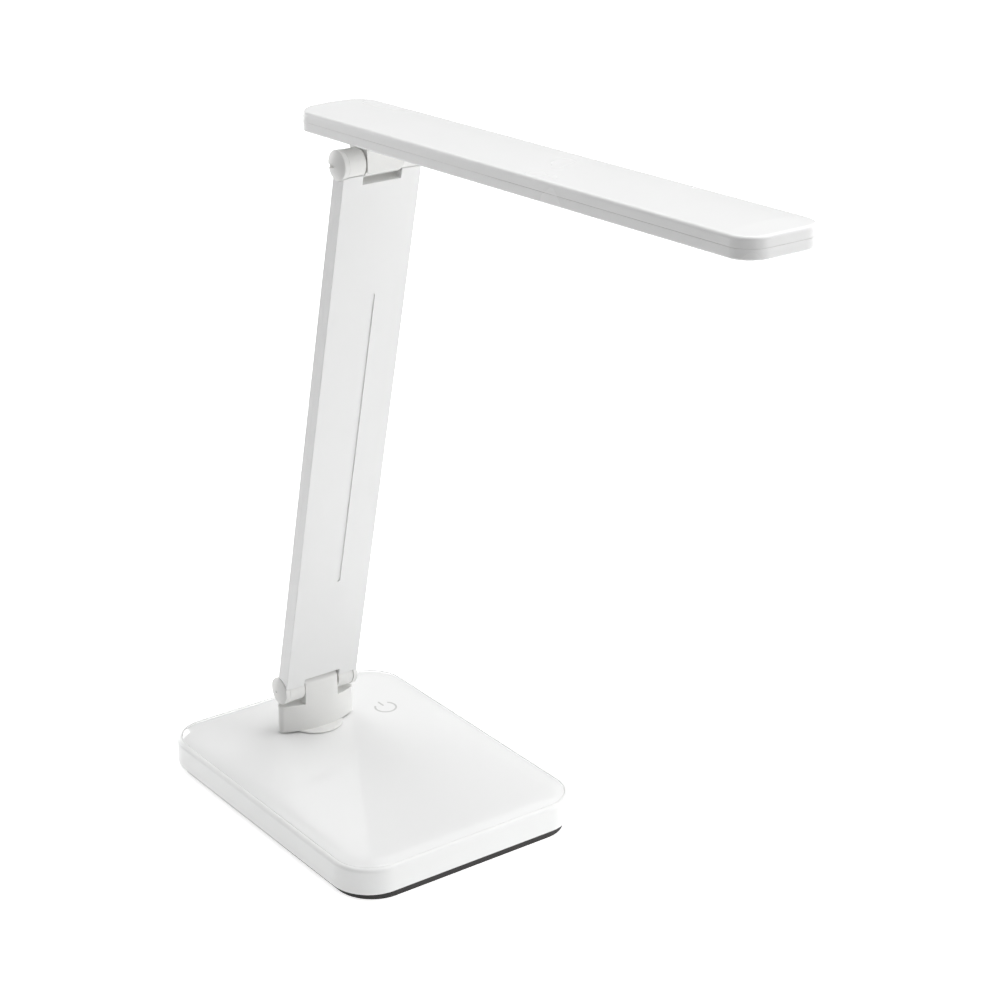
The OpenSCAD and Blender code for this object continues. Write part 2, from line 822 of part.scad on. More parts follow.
module led_board() {
    color("#e8e8e4") in_head()
        block([-led_board_half, window_front + led_board_margin, led_board_z],
              [led_board_half, window_back - led_board_margin, spreader_z]);
}

module leds() {
    color("#ffe9a8") in_head()
        for (x = [-led_row_x, led_row_x], i = [0 : led_count - 1])
            translate([x - led_size[0]/2, window_mid + (i - (led_count - 1)/2)*led_pitch - led_size[1]/2,
                    led_board_z - led_size[2]])
                cube(led_size);
}

module heat_spreader() {
    color("#b4b7ba") in_head()
        block([-led_board_half, window_front + led_board_margin, spreader_z],
              [led_board_half, window_back - led_board_margin, spreader_z + spreader_t]);
}

module head_screws() {
    color("#b9bcc0") in_head() at_head_bosses()
        translate([0, 0, head_drop]) rotate([180, 0, 0]) countersunk_screw(1.6, 3.2, head_t - head_wall - 0.6);
}

module head_tongue() {
    color("#f1f0ea") in_head() difference() {
        union() {
            rod(-knuckle_w/2, knuckle_w/2, knuckle_r);
            block([-knuckle_w/2, -knuckle_r, 0], [knuckle_w/2, knuckle_r, floor_z + eps]);
            block([-knuckle_w/2, -knuckle_r, -tongue_toe], [knuckle_w/2, 0, eps]);
            translate([-tongue_flange[0]/2, -tongue_flange[1]/2, floor_z]) cube(tongue_flange);
        }
        rod(-knuckle_w, knuckle_w, bush_r);
        for (x = [-1, 1], y = [-1, 1])
            translate([x*tongue_screw_x, y*tongue_screw_y, floor_z + tongue_flange[2]]) screw_hole(2, 3.4, 3);
    }
}

module tongue_screws() {
    color("#b9bcc0") in_head()
        for (x = [-1, 1], y = [-1, 1])
            translate([x*tongue_screw_x, y*tongue_screw_y, floor_z + tongue_flange[2]])
                countersunk_screw(2, 3.4, tongue_flange[2] + 1.5);
}

// Hinge pieces in place

module lower_hinge_bush() { color("#b08d57") at_lower_axis() hinge_bush(); }
module lower_fork() { color("#f1f0ea") in_arm() fork(lower_notch); }
module lower_hinge_bolt() { color("#a7abb0") in_arm() hinge_bolt(); }
module lower_hinge_nut() { color("#a7abb0") in_arm() hinge_nut(); }
module lower_hinge_washers() { color("#5a4632") in_arm() hinge_washers(); }

module lower_cap_left() {
    color("#efeeea") in_arm() difference() { hinge_cap(); cap_dimple(); }
}

module lower_cap_right() {
    color("#efeeea") in_arm() mirror([1, 0, 0]) hinge_cap();
}

module upper_fork() { color("#f1f0ea") at_upper_axis() fork(upper_notch); }
module upper_hinge_bolt() { color("#a7abb0") at_upper_axis() hinge_bolt(); }
module upper_hinge_nut() { color("#a7abb0") at_upper_axis() hinge_nut(); }
module upper_hinge_washers() { color("#5a4632") at_upper_axis() hinge_washers(); }
module upper_hinge_bush() { color("#b08d57") in_head() hinge_bush(); }

module upper_cap_left() {
    color("#efeeea") at_upper_axis() difference() { hinge_cap(); cap_slot(); }
}

module upper_cap_right() {
    color("#efeeea") at_upper_axis() mirror([1, 0, 0]) hinge_cap();
}

base_pad();
base_bottom_cover();
base_housing();
base_top_panel();
touch_symbol();
touch_electrode();
control_board();
board_components();
dc_jack();
ballast_plate();
base_screws();
swivel_bracket();
bracket_screws();
swivel_washer();
swivel_disc();
swivel_shaft();
swivel_friction_washer();
swivel_spring_washer();
swivel_nut();
pedestal();
pedestal_screws();
lower_hinge_bush();
lower_fork();
lower_hinge_bolt();
lower_hinge_nut();
lower_hinge_washers();
lower_cap_left();
lower_cap_right();
arm_rear_shell();
arm_front_cover();
arm_spine();
arm_screws();
arm_cable();
upper_fork();
upper_hinge_bolt();
upper_hinge_nut();
upper_hinge_washers();
upper_cap_left();
upper_cap_right();
upper_hinge_bush();
head_tongue();
tongue_screws();
head_top_shell();
head_bottom_frame();
diffuser();
reflector_frame();
led_board();
leds();
heat_spreader();
head_screws();
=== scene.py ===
import json
import math

import bmesh
import bpy
from mathutils import Matrix, Vector


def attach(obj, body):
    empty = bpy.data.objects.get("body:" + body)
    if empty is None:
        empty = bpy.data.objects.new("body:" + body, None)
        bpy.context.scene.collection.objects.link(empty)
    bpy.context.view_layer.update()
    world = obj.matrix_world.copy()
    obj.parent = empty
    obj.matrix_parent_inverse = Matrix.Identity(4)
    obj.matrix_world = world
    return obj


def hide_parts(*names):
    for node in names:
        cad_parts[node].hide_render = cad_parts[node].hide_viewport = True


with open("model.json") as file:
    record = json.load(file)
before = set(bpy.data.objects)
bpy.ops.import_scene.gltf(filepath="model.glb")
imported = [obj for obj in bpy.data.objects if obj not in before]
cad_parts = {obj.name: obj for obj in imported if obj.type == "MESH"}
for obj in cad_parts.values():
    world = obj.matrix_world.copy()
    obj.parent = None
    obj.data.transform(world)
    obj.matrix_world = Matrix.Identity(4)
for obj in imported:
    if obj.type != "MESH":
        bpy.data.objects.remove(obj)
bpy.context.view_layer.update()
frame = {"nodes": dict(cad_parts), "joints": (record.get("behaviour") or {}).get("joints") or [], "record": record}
nodes = frame["nodes"]
mm = 0.001
creaseAngle = math.radians(15)  # flatter edges are never bevelled
closeBy = 0.02 * mm  # two places this near count as the same
onWall = 0.05 * mm  # how near a wall a point has to be to count as on it
mergeWithin = 0.002 * mm
pastAll = 20 * mm  # reach of a cut that passes right through a piece

# the three hinges give the two leaning frames that the arm's and the head's pieces are built in
hingeAt = {joint["name"]: Vector(joint["pos_m"]) for joint in frame["joints"]}
swivelAxis = hingeAt["base_swivel"]
lowerAxis = hingeAt["arm_fold"]
upperAxis = hingeAt["head_tilt"]
armReach = upperAxis - lowerAxis
armLength = armReach.length
armLean = math.atan2(-armReach.y, armReach.z)
headTilt = math.radians(2.5)
leanTurn = Matrix.Rotation(armLean, 4, "X")
lowerFrame = Matrix.Translation(lowerAxis) @ leanTurn
upperFrame = Matrix.Translation(upperAxis) @ leanTurn
headFrame = Matrix.Translation(upperAxis) @ Matrix.Rotation(-headTilt, 4, "X")
print("frame loaded, arm leans", round(math.degrees(armLean), 1), "degrees")


# tools shared by all pieces
def pickOnly(piece):
    bpy.ops.object.select_all(action="DESELECT")
    piece.select_set(True)
    bpy.context.view_layer.objects.active = piece


def freshPiece(name):
    piece = bpy.context.object
    piece.name = name
    bpy.ops.object.transform_apply(location=True, rotation=True, scale=True)
    return piece


def addBlock(name, low, high):
    low, high = Vector(low), Vector(high)
    bpy.ops.object.select_all(action="DESELECT")
    bpy.ops.mesh.primitive_cube_add(size=1, location=(low + high) / 2)
    bpy.context.object.scale = high - low
    return freshPiece(name)


def addRod(name, start, end, radius, sides=96):
    start, end = Vector(start), Vector(end)
    along = end - start
    turn = along.to_track_quat("Z", "Y").to_euler()
    bpy.ops.object.select_all(action="DESELECT")
    bpy.ops.mesh.primitive_cylinder_add(vertices=sides, radius=radius, depth=along.length,
                                        location=(start + end) / 2, rotation=turn)
    return freshPiece(name)


def editEdges(piece, wanted):
    pickOnly(piece)
    bpy.ops.object.mode_set(mode="EDIT")
    bpy.ops.mesh.select_mode(type="EDGE")
    bpy.ops.mesh.select_all(action="DESELECT")
    mesh = bmesh.from_edit_mesh(piece.data)
    for edge in mesh.edges:
        creased = edge.calc_face_angle(0) > creaseAngle
        edge.select_set(bool(creased and wanted(edge.verts[0].co, edge.verts[1].co)))
    bmesh.update_edit_mesh(piece.data)


def editFaces(piece, wanted):
    pickOnly(piece)
    bpy.ops.object.mode_set(mode="EDIT")
    bpy.ops.mesh.select_mode(type="FACE")
    bpy.ops.mesh.select_all(action="DESELECT")
    mesh = bmesh.from_edit_mesh(piece.data)
    mesh.normal_update()
    for face in mesh.faces:
        face.select_set(bool(wanted(face.calc_center_median(), face.normal)))
    bmesh.update_edit_mesh(piece.data)


def leaveEdit():
    bpy.ops.object.mode_set(mode="OBJECT")


def near(a, b):
    return abs(a - b) < closeBy


def onLevel(place):
    return lambda a, b: near(a.z, place) and near(b.z, place)


def bevelEdges(piece, wanted, radius, segments):
    editEdges(piece, wanted)
    bpy.ops.mesh.bevel(offset=radius, segments=segments, affect="EDGES", profile=0.5)
    leaveEdit()


def bevelUprights(piece, radius, segments=16):
    bevelEdges(piece, lambda a, b: near(a.x, b.x) and near(a.y, b.y), radius, segments)


def stepFace(piece, wanted, steps):
    editFaces(piece, wanted)
    for inward, outward in steps:
        bpy.ops.mesh.inset(thickness=inward, depth=outward, use_even_offset=True)
    leaveEdit()


def quarterSteps(radius, count, reach=90):
    # inward and upward steps round a quarter circle, or less of one, starting from the wall
    turns = [math.radians(reach) * k / count for k in range(count + 1)]
    return [(radius * (math.cos(a) - math.cos(b)), radius * (math.sin(b) - math.sin(a)))
            for a, b in zip(turns, turns[1:])]


def combine(piece, other, how="DIFFERENCE"):
    change = piece.modifiers.new("combine", "BOOLEAN")
    change.object = other
    change.operation = how
    change.solver = "EXACT"
    pickOnly(piece)
    bpy.ops.object.modifier_apply(modifier=change.name)
    bpy.data.objects.remove(other)


def softenEdges(piece, width, segments=3, angle=35):
    change = piece.modifiers.new("soften", "BEVEL")
    change.width = width
    change.segments = segments
    change.limit_method = "ANGLE"
    change.angle_limit = math.radians(angle)
    pickOnly(piece)
    bpy.ops.object.modifier_apply(modifier=change.name)


def tidyMesh(piece, angle=40):
    pickOnly(piece)
    bpy.ops.object.mode_set(mode="EDIT")
    bpy.ops.mesh.select_all(action="SELECT")
    bpy.ops.mesh.remove_doubles(threshold=mergeWithin)
    bpy.ops.mesh.normals_make_consistent(inside=False)
    leaveEdit()
    bpy.ops.object.shade_smooth_by_angle(angle=math.radians(angle))
    change = piece.modifiers.new("normals", "WEIGHTED_NORMAL")
    change.keep_sharp = True
    bpy.ops.object.modifier_apply(modifier=change.name)


def drillAcross(piece, y, z, radius, sides):
    combine(piece, addRod("cut", (-pastAll, y, z), (pastAll, y, z), radius, sides))


def sliceAcross(piece, axis, places):
    # rows of edges square to one axis, so that no face is long and thin
    pickOnly(piece)
    bpy.ops.object.mode_set(mode="EDIT")
    for place in places:
        bpy.ops.mesh.select_all(action="SELECT")
        bpy.ops.mesh.bisect(plane_co=axis * place, plane_no=axis)
    leaveEdit()


def placeIn(piece, where):
    pickOnly(piece)
    piece.matrix_world = where
    bpy.ops.object.transform_apply(location=True, rotation=True, scale=True)


def finishPiece(piece, body, slotName, *stoodFor):
    piece.data.materials.clear()
    piece.data.materials.append(finishes[slotName])
    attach(piece, body)
    if stoodFor:
        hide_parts(*stoodFor)


# finishes
def newFinish(name, color, roughness, metallic=0.0):
    finish = bpy.data.materials.new(name)
    finish.use_nodes = True
    shader = finish.node_tree.nodes["Principled BSDF"]
    shader.inputs["Base Color"].default_value = (*color, 1)
    shader.inputs["Roughness"].default_value = roughness
    shader.inputs["Metallic"].default_value = metallic
    return finish, finish.node_tree, shader


def grainBump(tree, shader, scale, height, strength=0.35, detail=3.0):
    # moulded grain: fine noise pushed into the normal
    place = tree.nodes.new("ShaderNodeTexCoord")
    noise = tree.nodes.new("ShaderNodeTexNoise")
    noise.inputs["Scale"].default_value = scale
    noise.inputs["Detail"].default_value = detail
    bump = tree.nodes.new("ShaderNodeBump")
    bump.inputs["Strength"].default_value = strength
    bump.inputs["Distance"].default_value = height
    tree.links.new(place.outputs["Object"], noise.inputs["Vector"])
    tree.links.new(noise.outputs["Fac"], bump.inputs["Height"])
    tree.links.new(bump.outputs["Normal"], shader.inputs["Normal"])
    return place


def varyRoughness(tree, shader, place, scale, low, high):
    # handling wear: broad soft patches that are a little duller or glossier
    spots = tree.nodes.new("ShaderNodeTexNoise")
    spots.inputs["Scale"].default_value = scale
    spots.inputs["Detail"].default_value = 2.0
    spread = tree.nodes.new("ShaderNodeMapRange")
    spread.inputs["To Min"].default_value = low
    spread.inputs["To Max"].default_value = high
    tree.links.new(place.outputs["Object"], spots.inputs["Vector"])
    tree.links.new(spots.outputs["Fac"], spread.inputs["Value"])
    tree.links.new(spread.outputs["Result"], shader.inputs["Roughness"])


def varyColor(tree, shader, place, scale, dark, light):
    spots = tree.nodes.new("ShaderNodeTexNoise")
    spots.inputs["Scale"].default_value = scale
    spots.inputs["Detail"].default_value = 4.0
    ramp = tree.nodes.new("ShaderNodeValToRGB")
    ramp.color_ramp.elements[0].position = 0.3
    ramp.color_ramp.elements[0].color = (*dark, 1)
    ramp.color_ramp.elements[1].position = 0.7
    ramp.color_ramp.elements[1].color = (*light, 1)
    tree.links.new(place.outputs["Object"], spots.inputs["Vector"])
    tree.links.new(spots.outputs["Fac"], ramp.inputs["Fac"])
    tree.links.new(ramp.outputs["Color"], shader.inputs["Base Color"])


# the size of the soft patches: the higher the number, the smaller they are
patches = {"plasticWear": 28, "plasticTint": 9, "metalWear": 120, "metalTint": 60}


def plasticFinish(name, look):
    finish, tree, shader = newFinish(name, look["light"], look["rough"][0])
    place = grainBump(tree, shader, look["grain"], look["height"])
    varyRoughness(tree, shader, place, patches["plasticWear"], *look["rough"])
    varyColor(tree, shader, place, patches["plasticTint"], look["dark"], look["light"])
    shader.inputs["IOR"].default_value = 1.5
    shader.inputs["Coat Weight"].default_value = look.get("coat", 0.0)
    shader.inputs["Coat Roughness"].default_value = 0.02
    return finish


def metalFinish(name, look):
    finish, tree, shader = newFinish(name, look["light"], look["rough"][0], 1.0)
    place = grainBump(tree, shader, look["grain"], look["height"])
    varyRoughness(tree, shader, place, patches["metalWear"], *look["rough"])
    varyColor(tree, shader, place, patches["metalTint"], look["dark"], look["light"])
    return finish


plasticLooks = {
    "gloss_white": {"light": (0.85, 0.853, 0.85), "dark": (0.84, 0.843, 0.84),
                    "rough": (0.015, 0.035), "grain": 260, "height": 0.002 * mm},
    "base_white": {"light": (0.85, 0.855, 0.85), "dark": (0.84, 0.845, 0.84), "rough": (0.34, 0.42),
                   "grain": 500, "height": 0.006 * mm},
    "arm_white": {"light": (0.83, 0.833, 0.83), "dark": (0.82, 0.823, 0.82), "rough": (0.3, 0.38),
                  "grain": 1800, "height": 0.02 * mm},
    "head_white": {"light": (0.85, 0.852, 0.85), "dark": (0.84, 0.842, 0.84), "rough": (0.22, 0.3),
                   "grain": 700, "height": 0.005 * mm},
    "hinge_white": {"light": (0.81, 0.81, 0.795), "dark": (0.80, 0.80, 0.785), "rough": (0.42, 0.5),
                    "grain": 2200, "height": 0.03 * mm},
    "inner_plastic": {"light": (0.8, 0.8, 0.78), "dark": (0.76, 0.76, 0.74), "rough": (0.5, 0.6),
                      "grain": 1500, "height": 0.03 * mm},
    "pad_rubber": {"light": (0.016, 0.015, 0.014), "dark": (0.009, 0.0085, 0.008),
                   "rough": (0.6, 0.75), "grain": 1400, "height": 0.12 * mm},
    "symbol_grey": {"light": (0.6, 0.6, 0.595), "dark": (0.58, 0.58, 0.575), "rough": (0.15, 0.2),
                    "grain": 900, "height": 0.004 * mm},
    "fibre": {"light": (0.12, 0.075, 0.045), "dark": (0.07, 0.045, 0.03), "rough": (0.7, 0.85),
              "grain": 2500, "height": 0.05 * mm},
    "board_green": {"light": (0.02, 0.13, 0.055), "dark": (0.012, 0.09, 0.04),
                    "rough": (0.25, 0.35), "grain": 1200, "height": 0.02 * mm, "coat": 0.3},
    "black_plastic": {"light": (0.02, 0.02, 0.021), "dark": (0.015, 0.015, 0.016),
                      "rough": (0.35, 0.5), "grain": 1800, "height": 0.03 * mm},
    "cable_jacket": {"light": (0.78, 0.78, 0.78), "dark": (0.74, 0.74, 0.74), "rough": (0.4, 0.5),
                     "grain": 1500, "height": 0.02 * mm},
    "led_yellow": {"light": (0.85, 0.62, 0.16), "dark": (0.8, 0.56, 0.12), "rough": (0.2, 0.3),
                   "grain": 2500, "height": 0.01 * mm, "coat": 0.3},
    "diffuser_white": {"light": (0.88, 0.88, 0.86), "dark": (0.87, 0.87, 0.85),
                       "rough": (0.5, 0.58), "grain": 3500, "height": 0.04 * mm},
}
metalLooks = {
    "steel": {"light": (0.56, 0.56, 0.56), "dark": (0.45, 0.45, 0.46), "rough": (0.25, 0.42),
              "grain": 1500, "height": 0.01 * mm},
    "aluminium": {"light": (0.78, 0.78, 0.79), "dark": (0.68, 0.68, 0.7), "rough": (0.3, 0.45),
                  "grain": 1500, "height": 0.01 * mm},
    "brass": {"light": (0.68, 0.47, 0.2), "dark": (0.52, 0.35, 0.14), "rough": (0.22, 0.38),
              "grain": 1500, "height": 0.01 * mm},
}
finishes = {name: plasticFinish(name, look) for name, look in plasticLooks.items()}
finishes.update({name: metalFinish(name, look) for name, look in metalLooks.items()})

for part in frame["record"]["subparts"]:
    node = nodes[part["node"]]
    node.data.materials.clear()
    node.data.materials.append(finishes[part["material_slot"]])
print("finishes made:", len(finishes))


# base
base = {"width": 120 * mm, "depth": 160 * mm, "corner": 18.5 * mm, "wall": 2.2 * mm,
        "low": 3.0 * mm, "rimTop": 15.2 * mm, "rim": 1.8 * mm, "lip": 0.3 * mm, "turnIn": 0.9 * mm,
        "rimFlat": 0.1 * mm, "cornerCuts": 24, "inletRadius": 3.1 * mm, "inletHeight": 8.2 * mm}


def makeBaseHousing(size):
    halfWidth, halfDepth = size["width"] / 2, size["depth"] / 2
    wallTop = size["rimTop"] - size["rim"]
    housing = addBlock("base_housing_shell", (-halfWidth, -halfDepth, size["low"]),
                       (halfWidth, halfDepth, wallTop))
    bevelUprights(housing, size["corner"], size["cornerCuts"])
    bevelEdges(housing, onLevel(size["low"]), size["turnIn"], 4)
    rimSteps = quarterSteps(size["rim"], 8) + [(size["rimFlat"], 0)]
    rimSteps += [(run, -rise) for rise, run in reversed(quarterSteps(size["lip"], 4))]
    stepFace(housing, lambda at, normal: normal.z > 0.9, rimSteps)
    editFaces(housing, lambda at, normal: normal.z > 0.9 and abs(at.x) < mm and abs(at.y) < mm)
    drop = size["low"] - size["rimTop"] + size["lip"]
    bpy.ops.mesh.extrude_region_move(TRANSFORM_OT_translate={"value": (0, 0, drop)})
    leaveEdit()
    editFaces(housing, lambda at, normal: abs(normal.z) > 0.9 and abs(at.x) < mm
              and abs(at.y) < mm)
    bpy.ops.mesh.delete(type="FACE")
    bpy.ops.mesh.select_all(action="DESELECT")
    bpy.ops.mesh.select_mode(type="EDGE")
    bpy.ops.mesh.select_non_manifold()
    bpy.ops.mesh.bridge_edge_loops()
    leaveEdit()
    inlet = addRod("cut", (0, halfDepth - 2 * size["wall"], size["inletHeight"]),
                   (0, halfDepth + size["wall"], size["inletHeight"]), size["inletRadius"], 64)
    combine(housing, inlet)
    tidyMesh(housing)
    finishPiece(housing, "base", "base_white", "base_housing")


panel = {"inset": 2.22 * mm, "low": 12.9 * mm, "under": 14.0 * mm, "edgeTop": 14.7 * mm,
         "roll": 0.5 * mm, "rollReach": 68, "rollCuts": 5, "top": 16.5 * mm, "run": 14 * mm,
         "rings": 16, "shape": 4, "skirt": 3.0 * mm, "hole": 4.3 * mm, "drillTop": 30 * mm}


def makeTopPanel(size):
    halfWidth = base["width"] / 2 - size["inset"]
    halfDepth = base["depth"] / 2 - size["inset"]
    top = addBlock("base_crowned_panel", (-halfWidth, -halfDepth, size["low"]),
                   (halfWidth, halfDepth, size["edgeTop"]))
    bevelUprights(top, base["corner"] - size["inset"], base["cornerCuts"])
    # a small roll at the groove, then a crown that flattens towards the middle
    steps = quarterSteps(size["roll"], size["rollCuts"], size["rollReach"])
    crown = size["top"] - size["edgeTop"] - sum(up for run, up in steps)
    heights = [crown * (1 - (1 - k / size["rings"]) ** size["shape"])
               for k in range(size["rings"] + 1)]
    for lower, upper in zip(heights, heights[1:]):
        steps.append((size["run"] / size["rings"], upper - lower))
    stepFace(top, lambda at, normal: normal.z > 0.9, steps)
    stepFace(top, lambda at, normal: normal.z < -0.9, [(size["skirt"], 0)])
    editFaces(top, lambda at, normal: normal.z < -0.9 and abs(at.x) < mm and abs(at.y) < mm)
    bpy.ops.mesh.extrude_region_move(
        TRANSFORM_OT_translate={"value": (0, 0, size["under"] - size["low"])})
    leaveEdit()
    hole = addRod("cut", (0, swivelAxis.y, 0), (0, swivelAxis.y, size["drillTop"]),
                  size["hole"], 64)
    combine(top, hole)
    tidyMesh(top)
    finishPiece(top, "base", "gloss_white", "base_top_panel")


pad = {"side": 2.75 * mm, "end": 1.1 * mm, "thick": 3.0 * mm, "edge": 0.2 * mm}


def makePad(size):
    halfWidth = base["width"] / 2 - size["side"]
    halfDepth = base["depth"] / 2 - size["end"]
    sheet = addBlock("base_rubber_pad", (-halfWidth, -halfDepth, 0),
                     (halfWidth, halfDepth, size["thick"]))
    bevelUprights(sheet, base["corner"] - size["end"], base["cornerCuts"])
    softenEdges(sheet, size["edge"], 2)
    tidyMesh(sheet)
    finishPiece(sheet, "base", "pad_rubber", "base_pad")


symbol = {"centre": (34.2 * mm, 37.2 * mm), "radius": 4.85 * mm, "line": 0.88 * mm,
          "gap": 43, "wedge": 9 * mm, "bar": (1.7 * mm, 6.35 * mm), "barRound": 0.45,
          "proud": 0.03 * mm, "deep": 0.3 * mm}


def makeSymbol(size):
    # a ring with its gap to the back, and a bar standing in the gap
    x, y = size["centre"]
    low, high = panel["top"] - size["deep"], panel["top"] + size["proud"]
    halfLine = size["line"] / 2
    ring = addRod("touch_key_print", (x, y, low), (x, y, high), size["radius"] + halfLine)
    bore = addRod("cut", (x, y, low - mm), (x, y, high + mm), size["radius"] - halfLine)
    combine(ring, bore)
    # the block's near side is drawn together at the ring's centre, which makes it a wedge
    wedge = addBlock("cut", (x, y, low - mm), (x + size["wedge"], y + size["wedge"], high + mm))
    gap = math.radians(size["gap"])
    for vertex in wedge.data.vertices:
        side, back = vertex.co.x - x, vertex.co.y - y
        reach = size["wedge"] if back > mm else 0
        vertex.co.x = x + math.sin(gap) * (reach if side > mm else -reach)
        vertex.co.y = y + math.cos(gap) * reach
    combine(ring, wedge)
    bar = addBlock("bar", (x - halfLine, y + size["bar"][0], low),
                   (x + halfLine, y + size["bar"][1], high))
    bevelUprights(bar, size["line"] * size["barRound"], 6)
    combine(ring, bar, "UNION")
    tidyMesh(ring)
    finishPiece(ring, "base", "symbol_grey", "touch_symbol")


makeBaseHousing(base)
makeTopPanel(panel)
makePad(pad)
makeSymbol(symbol)
print("base built")


# swivelling pedestal
pedestal = {"length": 39.0 * mm, "depth": 13.2 * mm, "faceRadius": 40.0 * mm, "tip": 2.54 * mm,
            "foot": 17.5 * mm, "shoulder": 30.3 * mm, "knuckle": 6.18 * mm, "knuckleHalf": 8.6 * mm,
            "crownRise": 0.8 * mm, "soft": 0.3 * mm, "bush": 4.05 * mm, "points": 160,
            "over": 8 * mm, "postRadius": 10 * mm, "flare": 0.15 * mm, "rollerProud": 0.02 * mm,
            "lap": 0.4 * mm, "halves": (25 * mm, 26 * mm, 27 * mm), "sideHalf": 30 * mm}


def lensOutline(size, count):
    # two shallow faces and two round tips that meet them without a corner, counterclockwise
    tipAt = size["length"] / 2 - size["tip"]
    spread = math.asin(tipAt / (size["faceRadius"] - size["tip"]))
    offset = size["faceRadius"] - size["depth"] / 2
    tip, face = count // 8, count * 3 // 8
    arcs = ((tipAt, 0, size["tip"], spread - math.pi / 2, math.pi / 2 - spread, tip),
            (0, -offset, size["faceRadius"], math.pi / 2 - spread, math.pi / 2 + spread, face),
            (-tipAt, 0, size["tip"], math.pi / 2 + spread, math.pi * 1.5 - spread, tip),
            (0, offset, size["faceRadius"], math.pi * 1.5 - spread, math.pi * 1.5 + spread, face))
    return [(x + radius * math.cos(start + (end - start) * k / steps),
             y + radius * math.sin(start + (end - start) * k / steps))
            for x, y, radius, start, end, steps in arcs for k in range(steps)]


def makePedestal(size):
    middle, axis = swivelAxis.y, lowerAxis.z
    foot, shoulder, top = size["foot"], size["shoulder"], axis + size["over"]
    narrow, count = size["knuckleHalf"], size["points"]
    # a round post pulled into the lens shape, standing the full height
    body = addRod("pedestal_body", (0, middle, foot), (0, middle, top), size["postRadius"], count)
    outlinePoints = lensOutline(size, count)
    for vertex in body.data.vertices:
        turn = math.atan2(vertex.co.y - middle, vertex.co.x) / (2 * math.pi)
        x, y = outlinePoints[round(turn * count) % count]
        vertex.co.x, vertex.co.y = x, middle + y
    for low, high in ((-size["sideHalf"], -narrow), (narrow, size["sideHalf"])):
        side = addBlock("cut", (low, middle - pastAll, shoulder),
                        (high, middle + pastAll, top + 2 * mm))
        combine(body, side)
    # side view: wide below the shoulders, then narrowing to the round crown about the hinge;
    # the three have different widths, so that no two end faces lie in one plane
    profileHalf, rollerHalf, wideHalf = size["halves"]
    profile = addBlock("profile", (-profileHalf, middle - size["knuckle"], shoulder - mm),
                       (profileHalf, middle + size["knuckle"], axis + size["crownRise"]))
    flared = size["depth"] / 2 + size["flare"]
    for vertex in profile.data.vertices:
        if near(vertex.co.z, shoulder - mm):
            vertex.co.y = middle + math.copysign(flared, vertex.co.y - middle)
    roller = addRod("roller", (-rollerHalf, middle, axis), (rollerHalf, middle, axis),
                    size["knuckle"] + size["rollerProud"], 192)
    combine(profile, roller, "UNION")
    wide = addBlock("wide", (-wideHalf, middle - pastAll, foot - 2 * mm),
                    (wideHalf, middle + pastAll, shoulder - size["lap"]))
    combine(profile, wide, "UNION")
    combine(body, profile, "INTERSECT")
    drillAcross(body, middle, axis, size["bush"], 96)
    tidyMesh(body)
    softenEdges(body, size["soft"], 3)
    tidyMesh(body)
    finishPiece(body, "turret", "hinge_white", "pedestal")


disc = {"radius": 12.3 * mm, "low": 16.7 * mm, "high": 17.5 * mm, "hole": 4.1 * mm,
        "soft": 0.25 * mm}


def makeDisc(size):
    middle = swivelAxis.y
    plate = addRod("swivel_turntable", (0, middle, size["low"]), (0, middle, size["high"]),
                   size["radius"], 160)
    softenEdges(plate, size["soft"], 3)
    hole = addRod("cut", (0, middle, size["low"] - mm), (0, middle, size["high"] + mm),
                  size["hole"], 64)
    combine(plate, hole)
    tidyMesh(plate)
    finishPiece(plate, "turret", "hinge_white", "swivel_disc")


makePedestal(pedestal)
makeDisc(disc)
print("pedestal built")


# forks, caps and arm shells, built upright about a hinge axis and then leaned
fork = {"inner": 9.1 * mm, "outer": 16.8 * mm, "radius": 6.1 * mm, "soft": 0.1 * mm,
        "web": 11.35 * mm, "counterbore": 4.7 * mm, "bolt": 2.6 * mm, "neckHalf": 16.7 * mm,
        "neckTop": 10 * mm, "front": -3.61 * mm, "back": 0.35 * mm, "tangBack": -0.95 * mm,
        "tangHalf": 12.5 * mm, "tangTop": 32 * mm}


def makeFork(name, size, where, upward, notch, node):
    # upward is +1 for the fork at the arm's foot and -1 for the one at its top
    low, high = sorted((notch * upward, size["neckTop"] * upward))
    body = addBlock(name, (-size["neckHalf"], size["front"], low),
                    (size["neckHalf"], size["back"], high))
    low, high = sorted((notch * upward, size["tangTop"] * upward))
    tang = addBlock("tang", (-size["tangHalf"], size["front"], low),
                    (size["tangHalf"], size["tangBack"], high))
    combine(body, tang, "UNION")
    for side in (-1, 1):
        ends = sorted((size["inner"] * side, size["outer"] * side))
        barrel = addRod("barrel", (ends[0], 0, 0), (ends[1], 0, 0), size["radius"], 128)
        softenEdges(barrel, size["soft"], 3)
        low, high = sorted((0, size["neckTop"] * upward))
        edges = sorted((size["inner"] * side, size["neckHalf"] * side))
        root = addBlock("root", (edges[0], size["front"], low), (edges[1], size["back"], high))
        combine(body, root, "UNION")
        combine(body, barrel, "UNION")
        well = addRod("cut", (size["web"] * side, 0, 0), (pastAll * side, 0, 0),
                      size["counterbore"], 64)
        combine(body, well)
    drillAcross(body, 0, 0, size["bolt"], 64)
    tidyMesh(body)
    placeIn(body, where)
    finishPiece(body, "arm", "hinge_white", node)


